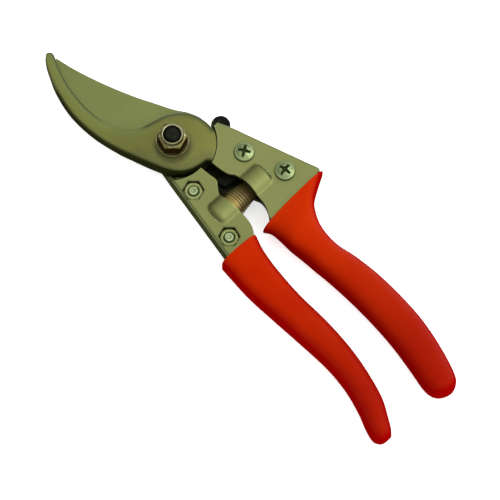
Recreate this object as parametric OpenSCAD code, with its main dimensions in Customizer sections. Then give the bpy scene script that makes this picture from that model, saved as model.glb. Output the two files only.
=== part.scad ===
// Bypass pruner with pressed-steel channel handles, slip-on grips, a volute spring and a thumb lock.
// Z is up, normal to the tool. X = Y = 0 is the pivot axis and Z = 0 the plane the tool lies on.
// The jaws point along +Y and the hook is on the upper (+Z) side of the blade.

/* [Stack] */
// Height of the hook and blade sliding plane
shear_z = 6.9; // [6:0.1:8]
// Blade thickness
blade_t = 3.15; // [2.5:0.05:3.2]
// Hook thickness along the jaw and the tang
hook_t = 4; // [3:0.1:4]
// Hook thickness at the hub
hub_t = 6.5; // [5:0.1:7]
// Handle sheet thickness
sheet_t = 1.5; // [1:0.1:2]
// Thickness of the grips, top to bottom
grip_t = 14.6; // [13:0.1:16]
// Grip wall beside the handle
grip_wall = 1.6; // [1.2:0.1:2.4]

/* [Pivot] */
// Pivot bolt radius
pivot_r = 3; // [2.5:0.1:4]
// Running clearance of the blade on the pivot bolt
pivot_gap = 0.05; // [0.02:0.01:0.1]
// Pivot nut and bolt head, across flats
pivot_af = 10.5; // [10:0.1:13]

/* [Screws] */
// Screw shank radius
screw_r = 2; // [1.5:0.1:2.5]
// Screw head radius
head_r = 4.1; // [3.5:0.1:4.5]
// Nut size across flats
nut_af = 7; // [6:0.1:8]

/* [Spring] */
// Outer radius of the widest coil
spring_r = 5.6; // [5:0.1:5.7]
// Strip thickness
strip_t = 0.2; // [0.15:0.01:0.22]
// Strip width
strip_w = 9.2; // [8:0.1:9.4]
// Number of turns
turns = 11; // [8:1:11]

/* [Lock] */
// Lever thickness
lever_t = 2.5; // [2:0.1:2.5]
// Thumb tab radius
tab_r = 3.8; // [3:0.1:4]

/* [Hidden] */
low_z = shear_z - 0.05 - blade_t;          // inner face of the back sheets
top_z = shear_z + hook_t;                  // inner face of the front sheets
mid_z = (low_z + top_z) / 2;
out_low = low_z - sheet_t;
out_top = top_z + sheet_t;
hub_z = shear_z + hub_t;
upper_screws_at = [[15.5, -23.7], [20.2, -40.8]];
lower_screws_at = [[-9.4, -19.4], [-14.5, -42.6]];
pocket_in = 5.8;
pocket_out = 7.2;
coil_gap = 0.24;                           // radius lost per turn
hex_turn = 11.6;                           // angle the nuts' corners are set at
tab_at = [19.2, -8.15];
tab_top = 8.8;
lever_z = low_z + 0.5;                     // underside of the lock lever
thumb_arm = [[12, -21], [16.9, -9.8], [18.6, -6.6], [21, -8], [18.6, -19.6]];
e = 0.01;

// ---- curve helpers ----
function crom(a, b, c, d, t) = 0.5 * (2 * b + (c - a) * t + (2 * a - 5 * b + 4 * c - d) * t * t
    + (3 * b - a - 3 * c + d) * t * t * t);
// smooth open curve through the points of p, n steps for each gap
function curve(p, n = 4) = [for (i = [0 : len(p) - 2]) for (k = [0 : n - 1])
    crom(p[max(i - 1, 0)], p[i], p[i + 1], p[min(i + 2, len(p) - 1)], k / n), p[len(p) - 1]];
function dir(a, b) = (b - a) / norm(b - a);
function xy(p) = [p[0], p[1]];
// corner of a polygon softened over the set-back distance s = p[2]
function soft(p, n = 5) = [for (i = [0 : len(p) - 1]) let (q = xy(p[i]), s = p[i][2],
    a = xy(p[(i + len(p) - 1) % len(p)]), b = xy(p[(i + 1) % len(p)]))
    each (s == 0 ? [q] : [for (k = [0 : n]) let (t = k / n, u = q + s * dir(q, a), v = q + s * dir(q, b))
    (1 - t) * (1 - t) * u + 2 * t * (1 - t) * q + t * t * v])];
function arc(r, a0, a1, n = 12) =
    [for (k = [0 : n]) let (a = a0 + (a1 - a0) * k / n) [r * cos(a), r * sin(a)]];
function rev(p) = [for (i = [len(p) - 1 : -1 : 0]) p[i]];
function shift(a, b, d) = [for (i = [0 : len(a) - 1]) a[i] + d * dir(a[i], b[i])];
function upto(p, n) = [for (i = [0 : n - 1]) p[i]];

module at_each(list) { for (p = list) translate([p[0], p[1], 0]) children(); }
module slab(z0, z1) { translate([0, 0, z0]) linear_extrude(height = z1 - z0) children(); }
module hex(af, z0, z1) { translate([0, 0, z0]) cylinder(h = z1 - z0, d = af / cos(30), $fn = 6); }
module turned_hex(af, z0, z1) { rotate([0, 0, hex_turn]) hex(af, z0, z1); }
module rod(r, z0, z1) { translate([0, 0, z0]) cylinder(h = z1 - z0, r = r, $fn = 48); }
module ring(r, bore, z0, z1) { difference() { rod(r, z0, z1); rod(bore, z0 - 1, z1 + 1); } }

// ---- jaw outlines ----
hook_outer = [[-4.6, 62.4], [-6.8, 61], [-10.4, 55.4], [-14.1, 48.2], [-17.2, 37.5], [-17.8, 25.5],
              [-16.3, 14.3], [-13.9, 5], [-11.4, -3.6], [-7.9, -10.2], [-2.6, -13.9], [3.2, -14.9]];
hook_inner = [[14.9, -8.2], [15.1, -2.6], [14, 2.4], [10.6, 7], [5.4, 10.2], [-1, 12.3], [-6.2, 15.2],
              [-9.7, 21.2], [-11.2, 29], [-10.9, 37], [-8.9, 46.6], [-5.6, 54.8], [-3.4, 58.8], [-2.8, 60.9],
              [-3.7, 62.3]];
tang = soft([[5.6, -17.6, 1], [9, -24.4, 3], [13.2, -28.2, 2], [15.4, -36.5, 3], [15.6, -44.4, 2],
             [18.5, -47.8, 2], [25, -47.2, 2], [23.6, -39, 0], [16, -13.2, 2]]);
spine = [[16, -4.4], [16.6, -0.2], [15.1, 5], [12.1, 10.4], [9.2, 17.5], [6.3, 24.6], [3.4, 33.2],
         [0.9, 41.9], [-1.2, 51.3], [-2.3, 59]];
edge = [[-3.3, 58.8], [-7.6, 52.6], [-11.2, 45], [-13.6, 36], [-14.1, 27.5], [-12.6, 18.5],
        [-10.9, 10.5], [-10.7, 4], [-9, -1.2], [-7.8, -4.2]];
blade_tang = soft([[-9.2, -9.8, 1], [-13.6, -28, 0], [-17.9, -46.4, 1.5], [-11.6, -47, 2], [-10.4, -40.4, 2],
                   [-12.8, -38.6, 0.6], [-11.4, -27.4, 1], [-4.6, -27.5, 1], [-1.4, -27.6, 0.8],
                   [0.1, -25, 1], [0.1, -17.8, 0.8], [0.9, -16.3, 0.2]]);
// catch for the lock lever, between the hub and the lever's nose
tooth = soft([[4.9, -15.3, 0], [4.9, -19.3, 0.8], [7.3, -19, 1], [9.3, -13.6, 0]]);

module hook_outline() { polygon(concat(curve(hook_outer), tang, curve(hook_inner))); }
module blade_outline() {
    polygon(concat(curve(spine), curve(edge), blade_tang,
                   arc(16, 274, 286, 4), tooth, arc(16.3, 305, 342, 6)));
}

// ---- handle and grip outlines: pairs of points across the handle, mouth to end ----
upper_out = [[30.7, -51.3], [26.9, -53.1], [20.6, -56.3], [16.7, -60.2], [13.5, -66.4], [12.2, -75],
             [13.2, -84], [13.6, -95], [12.8, -107], [11.3, -118], [8.8, -128], [5.6, -137.3],
             [2.9, -143.5], [0.7, -146.9], [-2.2, -148.3]];
upper_in = [[-3, -50], [-1.7, -53.2], [-1.6, -58.5], [-1.8, -63], [-1.7, -69], [-1.8, -76],
            [-1.8, -84], [-2.4, -96], [-3.7, -108.3], [-5.6, -119.7], [-8.3, -130.7], [-10.4, -138.2],
            [-10.6, -142.3], [-9.2, -145.2], [-6.2, -147.4]];
lower_out = [[-24.5, -47.7], [-25.6, -53.2], [-27, -63.4], [-27.6, -77], [-28.1, -92.4], [-28.8, -105.4],
             [-30.8, -116.3], [-34.2, -126], [-37.8, -133.5], [-39.2, -138.4], [-37.8, -141.7]];
lower_in = [[-6.7, -49.7], [-9, -55.9], [-11.1, -64], [-13.3, -78], [-14.4, -94], [-16.4, -107.5],
            [-19.4, -119], [-23.6, -130.2], [-28.2, -137.4], [-30.6, -140.8], [-32.4, -142.6]];
web_x = function(y) 18.95 - (y + 8.2) * 0.2715;      // outer line of the upper handle
low_x = function(y) -10 + (y + 2.4) * 0.243;         // outer line of the lower handle

// ends of the channels inside the grips, as numbers of curve steps from the mouth
upper_n = 40;
lower_n = 28;
function grip_side(a, b, d, n) = upto(shift(curve(a), curve(b), d), n);

module upper_sheet(hub_arc, inner_edge) {
    polygon(concat(hub_arc, [[18.3, -7.7], [web_x(-13.5), -13.5], [web_x(-50.6), -50.6]],
        grip_side(upper_out, upper_in, grip_wall + 0.1, upper_n),
        rev(grip_side(upper_in, upper_out, grip_wall + 0.1, upper_n)), curve(inner_edge)));
}
module upper_front() {
    upper_sheet(arc(17.6, 283, 333), [[2.2, -48.4], [4.3, -44.6], [5.4, -39.6], [6.2, -33], [6.2, -28],
                                      [4.6, -25], [4, -21]]);
}
module upper_back() {
    upper_sheet(arc(15, 275, 333), [[2.8, -48.4], [5.6, -44.6], [6.6, -39.6], [4.4, -31], [-0.6, -26.9],
                                         [0.3, -24.2], [0.9, -21]]);
}
// strip along the outer edge, where the sheet is folded
module upper_web(y0) {
    a = concat([[web_x(y0), y0], [web_x(-50.6), -50.6]],
               grip_side(upper_out, upper_in, grip_wall + 0.1, upper_n));
    b = concat([[web_x(y0) - sheet_t, y0], [web_x(-50.6) - sheet_t, -50.2]],
        grip_side(upper_out, upper_in, grip_wall + 0.1 + sheet_t, upper_n));
    polygon(concat(a, rev(b)));
}
module lower_sheet(r, a0, a1) {
    polygon(concat(rev(arc(r, a0, a1)), grip_tip(), curve(lower_edge)));
}
lower_edge = [[-6.9, -48.4], [-5.1, -45.4], [-4.2, -41.5], [-4.1, -37], [-4.1, -28.4],
              [-2.6, -25.8], [-0.4, -23.6]];
function grip_tip() = concat([[low_x(-46), -46]], grip_side(lower_out, lower_in, grip_wall + 0.1, lower_n),
    rev(grip_side(lower_in, lower_out, grip_wall + 0.1, lower_n)));
module lower_web(y0) {
    a = concat([[low_x(y0), y0], [low_x(-46), -46]],
               grip_side(lower_out, lower_in, grip_wall + 0.1, lower_n));
    b = concat([[low_x(y0) + sheet_t, y0], [low_x(-46) + sheet_t, -46]],
        grip_side(lower_out, lower_in, grip_wall + 0.1 + sheet_t, lower_n));
    polygon(concat(a, rev(b)));
}

// ---- spring pockets: short barrels lying along the spring axis ----
module on_spring_axis() { translate([2.5, -34.1, mid_z]) rotate([0, 0, -5]) rotate([0, 90, 0]) children(); }
module barrel(r, x0, x1, round0, round1) {
    on_spring_axis() translate([0, 0, x0]) rotate_extrude($fn = 72)
        polygon([[0, 0], [r - round0, 0], [r - round0 * 0.3, round0 * 0.3], [r, round0],
                 [r, x1 - x0 - round1], [r - round1 * 0.3, x1 - x0 - round1 * 0.3], [r - round1, x1 - x0],
                 [0, x1 - x0]]);
}
module clear_of_channel() {
    difference() {
        children();
        translate([-50, -80, low_z - e]) cube([100, 80, top_z - low_z + 2 * e]);
    }
}

module hook() color("olivedrab") difference() {
    union() {
        slab(shear_z, top_z) hook_outline();
        // hub and root of the jaw: a low dome with a rounded rim, flat under the nut
        intersection() {
            slab(top_z - e, hub_z + 1) polygon(concat(curve(hook_outer), [[4.1, -16.2]], arc(17.3, 285, 332),
                curve(hook_inner)));
            translate([-4, 3, hub_z - 115]) sphere(r = 115, $fn = 256);
            union() {
                translate([0, 0, top_z - 1]) rotate_extrude($fn = 96)
                    polygon(concat([[0, 0], [19.6, 0]],
                        [for (a = [0 : 9 : 90]) [12 + 5.4 * cos(a), 1 + 2.5 * sin(a)]],
                        [[0, 3.5]]));
                translate([-40, 2, shear_z]) cube([80, 80, 10]);
            }
        }
        rod(7.2, top_z - e, hub_z);
    }
    rod(pivot_r + 0.02, 0, 30);
    at_each(upper_screws_at) rod(screw_r + 0.1, 0, 30);
}

module cutting_blade() color("darkkhaki") difference() {
    slab(low_z, low_z + blade_t) blade_outline();
    rod(pivot_r + pivot_gap, 0, 30);
    at_each(lower_screws_at) rod(screw_r + 0.1, 0, 30);
}

module upper_handle() color("darkseagreen") difference() {
    union() {
        slab(out_low, low_z) upper_back();
        slab(top_z, out_top) upper_front();
        slab(out_low + e, out_top - e) upper_web(-21.5);
        clear_of_channel() barrel(pocket_out, 2.9, 13, 0, 1.6);
    }
    barrel(pocket_in, 1, 11.8, 0, 1);
    at_each(upper_screws_at) rod(screw_r + 0.1, 0, 30);
}

module lower_handle() color("darkseagreen") difference() {
    union() {
        slab(out_low, low_z) lower_sheet(10.2, 193, 270);
        slab(top_z, out_top) lower_sheet(15.4, 223, 268);
        slab(out_low + e, out_top - e) lower_web(-11.6);
        slab(out_low + e, shear_z - 0.3) lower_web(-3.2);
        clear_of_channel() barrel(pocket_out, -15, -6.9, 1.6, 0);
        at_each(lower_screws_at) turned_hex(nut_af + 0.35 + 2 * 1.2, shear_z, top_z + e);
    }
    barrel(pocket_in, -13.9, -5, 1, 0);
    at_each(lower_screws_at) { turned_hex(nut_af + 0.35, shear_z + sheet_t, 30); rod(screw_r + 0.1, 0, 30); }
}

// sleeve: rounded-rectangle rings across the handle, closed over the end
module grip(a, b, n) {
    pa = curve(a); pb = curve(b); m = len(pa); k = 24;
    rings = [for (i = [0 : m - 1]) let (c = (pa[i] + pb[i]) / 2, h = (pb[i] - pa[i]) / 2,
        f = i > m - 9 ? sqrt(max(0.16, 1 - pow((i - m + 9) / 9, 2))) : 1, q = 0.5 + 0.12 * min(i / 12, 1))
        [for (j = [0 : k - 1]) let (t = 360 * j / k,
        u = sign(cos(t)) * pow(abs(cos(t)), q), v = sign(sin(t)) * pow(abs(sin(t)), q))
        [c[0] + h[0] * u, c[1] + h[1] * u, grip_t / 2 * (1 + f * v)]]];
    pts = [for (r = rings) each r];
    sides = [for (i = [0 : m - 2]) for (j = [0 : k - 1]) let (j2 = (j + 1) % k)
        each [[i * k + j, (i + 1) * k + j, i * k + j2], [i * k + j2, (i + 1) * k + j, (i + 1) * k + j2]]];
    difference() {
        polyhedron(pts, concat([[for (j = [0 : k - 1]) j]], sides,
            [[for (j = [k - 1 : -1 : 0]) (m - 1) * k + j]]));
        slab(out_low - 0.1, out_top + 0.1) polygon(concat(
            [pa[0] + grip_wall * dir(pa[0], pb[0]) + [0, 3]], grip_side(a, b, grip_wall, n + 1),
            rev(grip_side(b, a, grip_wall, n + 1)), [pb[0] + grip_wall * dir(pb[0], pa[0]) + [0, 3]]));
    }
}
module upper_grip() color("orangered") grip(upper_out, upper_in, upper_n);
module lower_grip() color("orangered") mirror([1, 0, 0]) grip([for (p = lower_out) [-p[0], p[1]]],
    [for (p = lower_in) [-p[0], p[1]]], lower_n);

module pivot_bolt() color("dimgray") union() {
    hex(pivot_af, 0, 3);
    rod(pivot_r, 3 - e, 20.9);
    translate([0, 0, 20.9 - e]) cylinder(h = 0.8, r1 = pivot_r, r2 = pivot_r - 0.8, $fn = 48);
}
module pivot_back_washer() color("silver") ring(7.6, pivot_r + 0.1, 3 + e, low_z - 0.05);
module pivot_front_washer() color("silver") ring(6.7, pivot_r + 0.1, hub_z, hub_z + 0.8);
module pivot_nut() color("silver") difference() {
    union() {
        intersection() {
            turned_hex(pivot_af, hub_z + 0.8, hub_z + 6.4);
            translate([0, 0, hub_z + 0.8]) cylinder(h = 5.6, r1 = 8.6, r2 = 5.3, $fn = 96);
        }
        rod(4.35, hub_z + 6.4 - e, hub_z + 8);
    }
    rod(pivot_r + 0.02, 0, 30);
    rod(3.9, hub_z + 6, hub_z + 7.6);
}
module pivot_nut_ring() color("darkslategray") ring(3.88, pivot_r + 0.02, hub_z + 6.02, hub_z + 7.4);

// pan head with a cross recess, head down at z = 0 and shank along +Z for the length given
module pan_screw(length) {
    difference() {
        union() {
            translate([0, 0, -2.1]) rotate_extrude($fn = 64)
                polygon([[0, 0], [head_r - 1.3, 0], [head_r - 0.45, 0.35], [head_r, 1.1],
                         [head_r, 2.1], [0, 2.1]]);
            rod(screw_r, -e, length);
        }
        for (a = [0, 90]) rotate([0, 0, a]) translate([-2.2, -0.45, -3]) cube([4.4, 0.9, 2.2]);
    }
}
module upper_screws() color("gainsboro") at_each(upper_screws_at)
    translate([0, 0, out_top]) rotate([180, 0, 20]) pan_screw(12);
module lower_screws() color("gainsboro") at_each(lower_screws_at)
    translate([0, 0, out_low]) rotate([0, 0, 30]) pan_screw(9.6);
module small_nut(z0, h) difference() { hex(nut_af, z0, z0 + h); rod(screw_r + 0.02, z0 - 1, z0 + h + 1); }
module upper_nuts() color("silver") at_each(upper_screws_at) small_nut(out_low - 2.1, 2.1);
module lower_nuts() color("silver") at_each(lower_screws_at) rotate([0, 0, hex_turn])
    small_nut(shear_z + sheet_t, 3.2);
module tang_spacer() color("silver") translate(concat(upper_screws_at[1], 0))
    ring(3.9, screw_r + 0.1, low_z, shear_z);
module lock_sleeve() color("silver") translate(concat(upper_screws_at[0], 0))
    ring(3, screw_r + 0.1, low_z, shear_z);
module lock_washer() color("silver") translate(concat(upper_screws_at[0], 0))
    ring(4.4, 3.1, low_z, low_z + 0.4);

// bell crank: thumb arm along +Y, nose arm along -X
module lock_lever() color("dimgray") difference() {
    union() {
        translate(concat(upper_screws_at[0], 0)) rod(4.6, lever_z, lever_z + lever_t);
        slab(lever_z, lever_z + lever_t)
            polygon(soft([[0.9, -21.6, 0.8], [3.1, -21.4, 0.6], [3.9, -22.8, 0.8], [12, -22.6, 0],
                          [16, -26.6, 0], [11, -27.2, 1], [5, -27.2, 2], [1, -26, 1.5]]));
        slab(lever_z, lever_z + lever_t) polygon(thumb_arm);
    }
    translate(concat(upper_screws_at[0], 0)) rod(3.05, 0, 30);
}
module lock_thumb_tab() color("#202020") translate(concat(tab_at, 0)) difference() {
    rotate_extrude($fn = 64) polygon([[0, low_z + 0.15], [tab_r - 0.6, low_z + 0.15], [tab_r, low_z + 0.75],
        [tab_r, tab_top - 0.8], [tab_r - 0.8, tab_top], [0, tab_top]]);
    // slot that the lever's end is pressed into
    translate(concat(-tab_at, 0)) slab(lever_z - 0.02, lever_z + lever_t + 0.02) polygon(thumb_arm);
}

// wide strip wound in turns that shrink by the strip and its gap, each turn stepping along the axis
module volute_spring() color("saddlebrown") {
    k = 24; m = turns * k;
    pts = [for (i = [0 : m]) let (t = 360 * i / k, n = i / k, r = spring_r - coil_gap * n,
        x = -13.5 + n + 0.04 * n * n)
        each [[x, r * cos(t), r * sin(t)], [x + strip_w, r * cos(t), r * sin(t)],
              [x + strip_w, (r - strip_t) * cos(t), (r - strip_t) * sin(t)],
              [x, (r - strip_t) * cos(t), (r - strip_t) * sin(t)]]];
    sides = [for (i = [0 : m - 1]) for (j = [0 : 3]) let (j2 = (j + 1) % 4)
        each [[4 * i + j, 4 * i + j2, 4 * i + 4 + j], [4 * i + j2, 4 * i + 4 + j2, 4 * i + 4 + j]]];
    translate([2.5, -34.1, mid_z]) rotate([0, 0, -5])
        polyhedron(pts, concat([[3, 2, 1, 0]], sides, [[4 * m, 4 * m + 1, 4 * m + 2, 4 * m + 3]]));
}

hook();
cutting_blade();
upper_handle();
lower_handle();
upper_grip();
lower_grip();
pivot_bolt();
pivot_nut();
pivot_nut_ring();
pivot_front_washer();
pivot_back_washer();
upper_screws();
upper_nuts();
lower_screws();
lower_nuts();
tang_spacer();
lock_lever();
lock_thumb_tab();
lock_sleeve();
lock_washer();
volute_spring();
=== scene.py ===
"""Looks of the bypass pruner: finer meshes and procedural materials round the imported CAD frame.

Lengths in the tables are millimetres in the part's own frame (+Y to the jaw tips, +Z up); MM turns
them into metres when a mesh is made.
"""
from collections import Counter
from math import copysign, cos, hypot, pi, radians, sin, sqrt

import bmesh
import bpy
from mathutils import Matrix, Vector


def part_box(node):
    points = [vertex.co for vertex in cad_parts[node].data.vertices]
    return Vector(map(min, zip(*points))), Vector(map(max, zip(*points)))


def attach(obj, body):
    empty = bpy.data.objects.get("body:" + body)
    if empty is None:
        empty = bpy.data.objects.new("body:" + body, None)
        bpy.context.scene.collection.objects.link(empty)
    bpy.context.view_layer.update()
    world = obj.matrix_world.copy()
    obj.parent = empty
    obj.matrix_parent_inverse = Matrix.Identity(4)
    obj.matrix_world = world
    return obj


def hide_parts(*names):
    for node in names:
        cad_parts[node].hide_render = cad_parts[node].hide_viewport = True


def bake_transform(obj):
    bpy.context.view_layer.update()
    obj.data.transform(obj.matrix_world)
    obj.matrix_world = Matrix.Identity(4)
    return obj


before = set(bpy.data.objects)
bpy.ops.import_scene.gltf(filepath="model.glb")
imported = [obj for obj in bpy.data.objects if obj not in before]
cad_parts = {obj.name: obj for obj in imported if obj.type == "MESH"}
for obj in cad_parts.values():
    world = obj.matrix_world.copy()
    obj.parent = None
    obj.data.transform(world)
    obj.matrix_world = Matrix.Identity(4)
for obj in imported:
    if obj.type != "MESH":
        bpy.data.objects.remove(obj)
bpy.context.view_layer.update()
MM = 0.001


def low(node):
    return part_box(node)[0] / MM


def high(node):
    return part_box(node)[1] / MM


# thickness of the handles' sheet and of the hook's tang, and levels of the stack from the CAD nodes
SHEET_T, TANG_T = 1.5, 4.0
SHEAR_Z = low("hook").z
TANG_TOP = SHEAR_Z + TANG_T
BLADE_LOW, BLADE_TOP = low("cutting_blade").z, high("cutting_blade").z
SHEET_LOW, SHEET_TOP = BLADE_LOW - SHEET_T, TANG_TOP + SHEET_T
MID_Z = (BLADE_LOW + TANG_TOP) / 2
HUB_Z = low("pivot_front_washer").z
GRIP_T = high("upper_grip").z


# ---- curves
def crom(a, b, c, d, t):
    """Point at t between b and c on the smooth curve through all four."""
    return 0.5 * (2 * b + (c - a) * t + (2 * a - 5 * b + 4 * c - d) * t * t + (3 * b - a - 3 * c + d) * t**3)


def curve(points, n):
    """Smooth open curve through the points, n steps for each gap (or a list of steps)."""
    p = [Vector(q) for q in points]
    steps = n if isinstance(n, list) else [n] * (len(p) - 1)
    out = []
    for i in range(len(p) - 1):
        a, d = p[max(i - 1, 0)], p[min(i + 2, len(p) - 1)]
        out += [crom(a, p[i], p[i + 1], d, k / steps[i]) for k in range(steps[i])]
    return out + [p[-1]]


def numbers(values, n):
    """The same curve for plain numbers."""
    return [v.x for v in curve([(v, 0) for v in values], n)]


def soft(points):
    """Corners [x, y, s] of a polygon, each softened over its set-back distance s."""
    steps = [k / 5 for k in range(6)]
    out = []
    for i, (x, y, s) in enumerate(points):
        q = Vector((x, y))
        if not s:
            out.append(q)
            continue
        u = q + s * (Vector(points[i - 1][:2]) - q).normalized()
        v = q + s * (Vector(points[(i + 1) % len(points)][:2]) - q).normalized()
        out += [u * (1 - t) ** 2 + q * 2 * t * (1 - t) + v * t * t for t in steps]
    return out


def arc(r, a0, a1, n):
    """Points on a circle round the pivot, from a0 to a1 degrees."""
    turns = [radians(a0 + (a1 - a0) * k / n) for k in range(n + 1)]
    return [Vector((r * cos(t), r * sin(t))) for t in turns]


def ramp(x, a, b):
    """Smooth step from 0 at a to 1 at b."""
    t = min(max((x - a) / (b - a), 0), 1)
    return t * t * (3 - 2 * t)


def level_max(a, b, k):
    """Larger of two heights, eased together over about k."""
    return 0.5 * (a + b + sqrt((a - b) ** 2 + k * k))


def distance(x, y, line):
    """Distance in plan from a point to a polyline."""
    p, best = Vector((x, y)), 1e9
    for a, b in zip(line, line[1:]):
        d = b - a
        t = min(max((p - a).dot(d) / d.dot(d), 0), 1)
        best = min(best, (p - a - d * t).length)
    return best


def round_ring(centre, r, z, n=96):
    """Level circle of n points."""
    return [(centre[0] + r * cos(2 * pi * j / n), centre[1] + r * sin(2 * pi * j / n), z)
            for j in range(n)]


# ---- mesh building
def new_object(name, verts, faces, material):
    """Object from points in millimetres."""
    mesh = bpy.data.meshes.new(name)
    mesh.from_pydata([(x * MM, y * MM, z * MM) for x, y, z in verts], [], faces)
    mesh.materials.append(material)
    obj = bpy.data.objects.new(name, mesh)
    bpy.context.scene.collection.objects.link(obj)
    return obj


class Shell:
    """Collects closed pieces of mesh, in millimetres, for one object."""

    def __init__(self):
        self.verts, self.faces = [], []

    def add(self, verts, faces):
        base = len(self.verts)
        self.verts += [tuple(v) for v in verts]
        self.faces += [tuple(base + i for i in f) for f in faces]

    def rings(self, rings, cap=(True, True)):
        """Closed rings of the same length joined in order, the first and last filled where cap says."""
        k = len(rings[0])
        faces = []
        for i in range(len(rings) - 1):
            for j in range(k):
                j2 = (j + 1) % k
                faces.append((i * k + j, i * k + j2, (i + 1) * k + j2, (i + 1) * k + j))
        if cap[0]:
            faces.append(tuple(range(k - 1, -1, -1)))
        if cap[1]:
            faces.append(tuple((len(rings) - 1) * k + j for j in range(k)))
        self.add([v for r in rings for v in r], faces)

    def slab(self, outline, z0, z1, round_top=0.25, round_low=0.25):
        """Flat plate with its rims a little rounded."""
        most = max(round_top, round_low)
        ins = inset(outline, most)
        rings = []
        for z, up, r, steps in ((z0, 1, round_low, (1.0, 0.3, 0.0)), (z1, -1, round_top, (0.0, 0.3, 1.0))):
            for step in steps:
                rings.append([(*(p + (q - p) * step * r / most), z + up * r * (1 - step) ** 2)
                              for p, q in zip(outline, ins)])
        self.rings(rings)

    def turned(self, profile, centre=(0, 0), n=72):
        """Body turned about a vertical line; profile is (radius, z) from the axis out and back to it."""
        self.rings([round_ring(centre, max(r, 1e-4), z, n) for r, z in profile])

    def tube(self, profile):
        """Turned body round the pivot with an open bore; profile ends where it starts."""
        self.rings([round_ring((0, 0), r, z) for r, z in profile], cap=(False, False))

    def make(self, name, material, smooth=35, tint=None):
        """Object with edges sharper than smooth degrees kept crisp; tint is painted on it."""
        obj = new_object(name, self.verts, self.faces, material)
        obj.data.validate()
        finish_mesh(obj, smooth)
        if tint:
            paint(obj, tint)
        return obj


def paint(obj, tint, name="tint"):
    """Amount (0 to 1) stored at each point for the material to read; tint takes millimetres."""
    data = obj.data.attributes.new(name, "FLOAT", "POINT").data
    for v, d in zip(obj.data.vertices, data):
        d.value = min(max(tint(*(v.co / MM)), 0), 1)


def finish_mesh(obj, smooth):
    bm = bmesh.new()
    bm.from_mesh(obj.data)
    bmesh.ops.remove_doubles(bm, verts=bm.verts, dist=1e-7)
    bmesh.ops.recalc_face_normals(bm, faces=bm.faces)
    bm.to_mesh(obj.data)
    bm.free()
    for p in obj.data.polygons:
        p.use_smooth = True
    obj.data.set_sharp_from_angle(angle=radians(smooth))


def inset(outline, d):
    """The outline moved inwards by d along its corner normals."""
    n = len(outline)
    nexts = outline[1:] + outline[:1]
    area = sum(p.x * q.y - q.x * p.y for p, q in zip(outline, nexts))
    side = 1 if area > 0 else -1
    out = []
    for i in range(n):
        a, b, c = outline[i - 1], outline[i], nexts[i]
        u, v = b - a, c - b
        nu = Vector((-u.y, u.x)).normalized() if u.length > 1e-6 else Vector((0, 0))
        nv = Vector((-v.y, v.x)).normalized() if v.length > 1e-6 else Vector((0, 0))
        m = nu + nv
        m = m / max(m.dot(m) / 2, 0.5) if m.length > 1e-6 else nu
        out.append(b + side * d * m)
    return out


def bowed(a, b, bow, t):
    """Point at t on the line from a to b, bowed sideways like a shallow arch."""
    d = b - a
    return a + d * t + Vector((-d.y, d.x)).normalized() * (bow * 4 * t * (1 - t))


def loft(shell, left, right, bow, top, bottom, r_left, r_right, low_marks):
    """Plate lofted over stations that cross it from a left to a right edge point.

    top and bottom give the height at a point and its distance from the left edge; r_left and
    r_right are the radii of the top rims at each station, and low_marks the distances from the
    left edge of the underside's points.
    """
    mids, r_low = 14, 0.2
    rim = [pi / 2 * k / 6 for k in range(7)]
    rings = []
    for i, (a, b) in enumerate(zip(left, right)):
        w = (b - a).length
        rl, rr = r_left[i], r_right[i]
        s = min(1, 0.96 * w / (rl + rr))
        ring = [(rl * s * (1 - cos(f)), rl * s * (1 - sin(f))) for f in rim]
        ring += [(rl * s + (w - (rl + rr) * s) * k / mids, 0) for k in range(1, mids)]
        ring += [(w - rr * s * (1 - cos(f)), rr * s * (1 - sin(f))) for f in reversed(rim)]
        pts = []
        for d, drop in ring:
            p = bowed(a, b, bow[i], d / w)
            pts.append((p.x, p.y, top(p, d, w) - drop))
        low_d = [w - 0.02 * s, w - r_low * s] + [min(m, w * m / 8.0) for m in reversed(low_marks)] + [0.0]
        for q, d in enumerate(low_d):
            p = bowed(a, b, bow[i], d / w)
            pts.append((p.x, p.y, bottom(p, d, w) + (r_low * 0.8 if q == 0 else 0)))
        rings.append(pts)
    shell.rings(rings)


# ---- materials
def srgb(r, g, b):
    """Linear colour with alpha from a screen colour of 0 to 255."""
    return tuple(((c / 255 + 0.055) / 1.055) ** 2.4 if c > 10 else c / 255 / 12.92 for c in (r, g, b)) + (1,)


class Nodes:
    """Short way to wire a tree of nodes."""

    def __init__(self, tree):
        self.tree = tree

    def node(self, kind, **inputs):
        n = self.tree.nodes.new(kind)
        for key, value in inputs.items():
            if hasattr(n, key) and key not in n.inputs:
                setattr(n, key, value)
            else:
                self.put(n.inputs[key], value)
        return n

    def put(self, socket, value):
        if isinstance(value, bpy.types.NodeSocket):
            self.tree.links.new(value, socket)
        else:
            socket.default_value = value

    def span(self, value, a, b, c, d):
        n = self.node("ShaderNodeMapRange", clamp=True)
        self.put(n.inputs[0], value)
        for i, v in enumerate((a, b, c, d), 1):
            self.put(n.inputs[i], v)
        return n.outputs[0]

    def mix(self, fac, a, b):
        """Mixed colour; a and b are sockets, colours of 0 to 255, or linear colours with alpha."""
        n = self.node("ShaderNodeMix", data_type="RGBA")
        self.put(n.inputs[0], fac)
        for socket, colour in ((n.inputs[6], a), (n.inputs[7], b)):
            plain = isinstance(colour, tuple) and len(colour) == 3
            self.put(socket, srgb(*colour) if plain else colour)
        return n.outputs[2]

    def math(self, op, a, b=0.0):
        n = self.node("ShaderNodeMath", operation=op)
        self.put(n.inputs[0], a)
        self.put(n.inputs[1], b)
        return n.outputs[0]

    def part(self, vector, axis):
        """One coordinate of a vector, 0 for x to 2 for z."""
        return self.node("ShaderNodeSeparateXYZ", Vector=vector).outputs[axis]


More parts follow.
